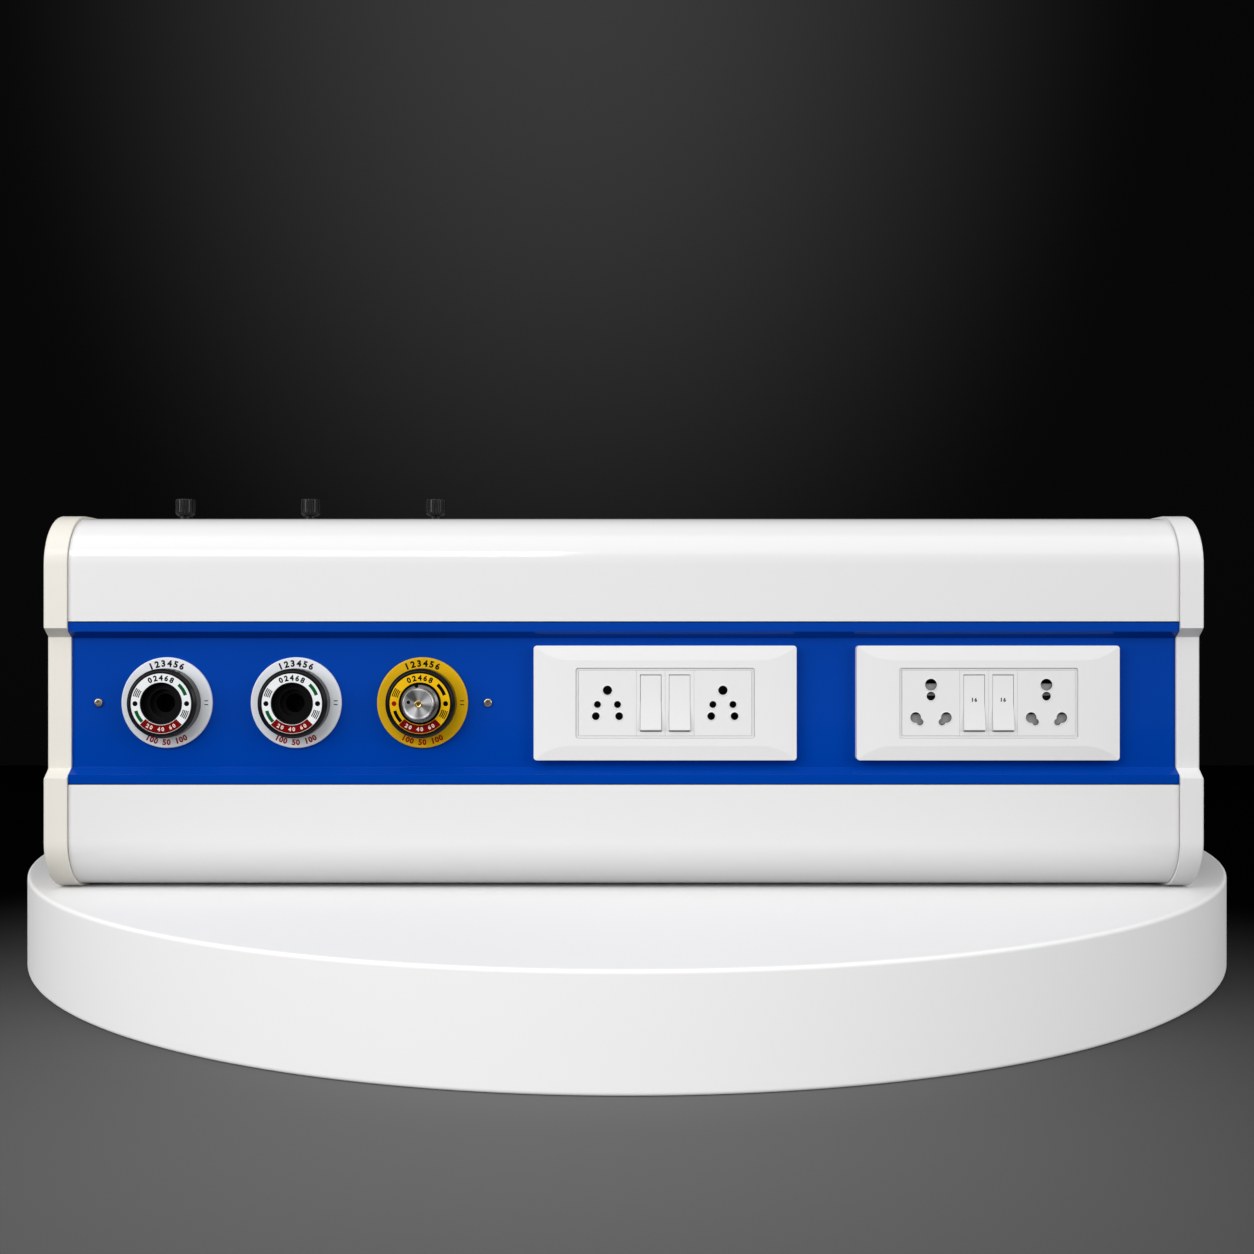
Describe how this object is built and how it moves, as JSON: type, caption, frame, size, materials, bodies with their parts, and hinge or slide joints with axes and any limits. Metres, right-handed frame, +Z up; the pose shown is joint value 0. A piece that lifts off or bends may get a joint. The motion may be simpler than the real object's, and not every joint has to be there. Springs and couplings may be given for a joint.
{
  "type": "bed head unit",
  "caption": "Horizontal wall panel for a hospital bed, with rounded white covers, a recessed blue fascia, gas outlets with valves, mains sockets and rocker switches.",
  "frame": {"origin": "centre of the wall plate's back face, on the wall", "axes": "+X to the right along the unit as seen from the room, +Y into the wall, +Z up; the front faces -Y"},
  "size_m": [0.914, 0.091, 0.315],
  "materials": {
    "white_cover": "white powder coat, satin",
    "blue_fascia": "blue powder coat, satin",
    "cap_ivory": "moulded, satin",
    "cap_grey": "moulded, satin",
    "zinc_steel": "zinc plated sheet",
    "screw_nickel": "nickel plated",
    "brass": "machined",
    "body_black": "blackened, satin",
    "black_anodised": "black anodised",
    "ring_white": "printed, satin",
    "ring_yellow": "printed, satin",
    "dial_white": "printed, satin",
    "dial_yellow": "printed, satin",
    "spring_steel": "drawn wire",
    "chrome": "turned and plated",
    "copper": "drawn copper tube",
    "stem_steel": "turned",
    "knob_black": "moulded, fluted",
    "plate_white": "gloss moulding",
    "module_white": "gloss moulding",
    "shutter_grey": "moulded"
  },
  "bodies": {
    "housing": {"top_cover": "white_cover", "bottom_cover": "white_cover", "fascia": "blue_fascia", "end_cap_left": "cap_ivory", "end_cap_right": "cap_grey", "wall_plate": "zinc_steel", "partition": "zinc_steel", "outlet_bracket": "zinc_steel", "fascia_screws": "screw_nickel", "frame_screws": "screw_nickel", "contact_sleeves": "brass", "outlet_body_1": "body_black", "outlet_ring_1": "ring_white", "poppet_spring_1": "spring_steel", "valve_body_1": "brass", "gas_pipe_1": "copper", "outlet_body_2": "body_black", "outlet_ring_2": "ring_white", "poppet_spring_2": "spring_steel", "valve_body_2": "brass", "gas_pipe_2": "copper", "outlet_body_3": "body_black", "outlet_ring_3": "ring_yellow", "poppet_spring_3": "spring_steel", "valve_body_3": "brass", "gas_pipe_3": "copper", "cover_plate_1": "plate_white", "support_frame_1": "plate_white", "switch_bodies_1": "module_white", "cover_plate_2": "plate_white", "support_frame_2": "plate_white", "switch_bodies_2": "module_white", "socket_1": "module_white", "socket_2": "module_white", "socket_3": "module_white", "socket_4": "module_white"},
    "valve_1": {"valve_knob_1": "knob_black", "valve_stem_1": "stem_steel"},
    "valve_2": {"valve_knob_2": "knob_black", "valve_stem_2": "stem_steel"},
    "valve_3": {"valve_knob_3": "knob_black", "valve_stem_3": "stem_steel"},
    "collar_1": {"release_collar_1": "black_anodised", "dial_1": "dial_white"},
    "collar_2": {"release_collar_2": "black_anodised", "dial_2": "dial_white"},
    "collar_3": {"release_collar_3": "black_anodised", "dial_3": "dial_yellow"},
    "check_1": {"poppet_1": "brass"},
    "check_2": {"poppet_2": "brass"},
    "check_3": {"poppet_3": "brass"},
    "plug": {"vacuum_plug": "chrome"},
    "switch_1": {"rocker_1": "module_white"},
    "switch_2": {"rocker_2": "module_white"},
    "switch_3": {"rocker_3": "module_white"},
    "switch_4": {"rocker_4": "module_white"},
    "shutter_3": {"shutter_3": "shutter_grey"},
    "shutter_4": {"shutter_4": "shutter_grey"}
  },
  "joints": [
    {"name": "valve_1_turn", "type": "hinge", "parent": "housing", "child": "valve_1", "pos_m": [-0.3594, -0.027, 0.155], "axis": [0, 0, 1], "range_deg": [0, 270]},
    {"name": "valve_2_turn", "type": "hinge", "parent": "housing", "child": "valve_2", "pos_m": [-0.2568, -0.027, 0.155], "axis": [0, 0, 1], "range_deg": [0, 270]},
    {"name": "valve_3_turn", "type": "hinge", "parent": "housing", "child": "valve_3", "pos_m": [-0.1542, -0.027, 0.155], "axis": [0, 0, 1], "range_deg": [0, 270]},
    {"name": "collar_1_release", "type": "hinge", "parent": "housing", "child": "collar_1", "pos_m": [-0.3623, -0.075, 0], "axis": [0, 1, 0], "range_deg": [0, 20], "stiffness_Nm_per_rad": 0.08},
    {"name": "collar_2_release", "type": "hinge", "parent": "housing", "child": "collar_2", "pos_m": [-0.2598, -0.075, 0], "axis": [0, 1, 0], "range_deg": [0, 20], "stiffness_Nm_per_rad": 0.08},
    {"name": "collar_3_release", "type": "hinge", "parent": "housing", "child": "collar_3", "pos_m": [-0.1596, -0.075, 0], "axis": [0, 1, 0], "range_deg": [0, 20], "stiffness_Nm_per_rad": 0.08},
    {"name": "check_1_open", "type": "slide", "parent": "housing", "child": "check_1", "axis": [0, 1, 0], "range_m": [0, 0.004], "stiffness_N_per_m": 300, "springref_m": -0.001, "deforming": ["poppet_spring_1"]},
    {"name": "check_2_open", "type": "slide", "parent": "housing", "child": "check_2", "axis": [0, 1, 0], "range_m": [0, 0.004], "stiffness_N_per_m": 300, "springref_m": -0.001, "deforming": ["poppet_spring_2"]},
    {"name": "check_3_open", "type": "slide", "parent": "housing", "child": "check_3", "axis": [0, 1, 0], "range_m": [0, 0.004], "stiffness_N_per_m": 300, "springref_m": -0.001, "deforming": ["poppet_spring_3"]},
    {"name": "plug_pull", "type": "slide", "parent": "housing", "child": "plug", "axis": [0, -1, 0], "range_m": [0, 0.032]},
    {"name": "switch_1_tilt", "type": "hinge", "parent": "housing", "child": "switch_1", "pos_m": [0.02133, -0.0685, 0], "axis": [1, 0, 0], "range_deg": [0, 9]},
    {"name": "switch_2_tilt", "type": "hinge", "parent": "housing", "child": "switch_2", "pos_m": [0.04408, -0.0685, 0], "axis": [1, 0, 0], "range_deg": [0, 9]},
    {"name": "switch_3_tilt", "type": "hinge", "parent": "housing", "child": "switch_3", "pos_m": [0.27632, -0.0685, 0], "axis": [1, 0, 0], "range_deg": [0, 9]},
    {"name": "switch_4_tilt", "type": "hinge", "parent": "housing", "child": "switch_4", "pos_m": [0.29907, -0.0685, 0], "axis": [1, 0, 0], "range_deg": [0, 9]},
    {"name": "shutter_3_slide", "type": "slide", "parent": "housing", "child": "shutter_3", "axis": [0, 0, 1], "range_m": [-0.007, 0.0052], "stiffness_N_per_m": 150},
    {"name": "shutter_4_slide", "type": "slide", "parent": "housing", "child": "shutter_4", "axis": [0, 0, 1], "range_m": [-0.007, 0.0052], "stiffness_N_per_m": 150}
  ]
}
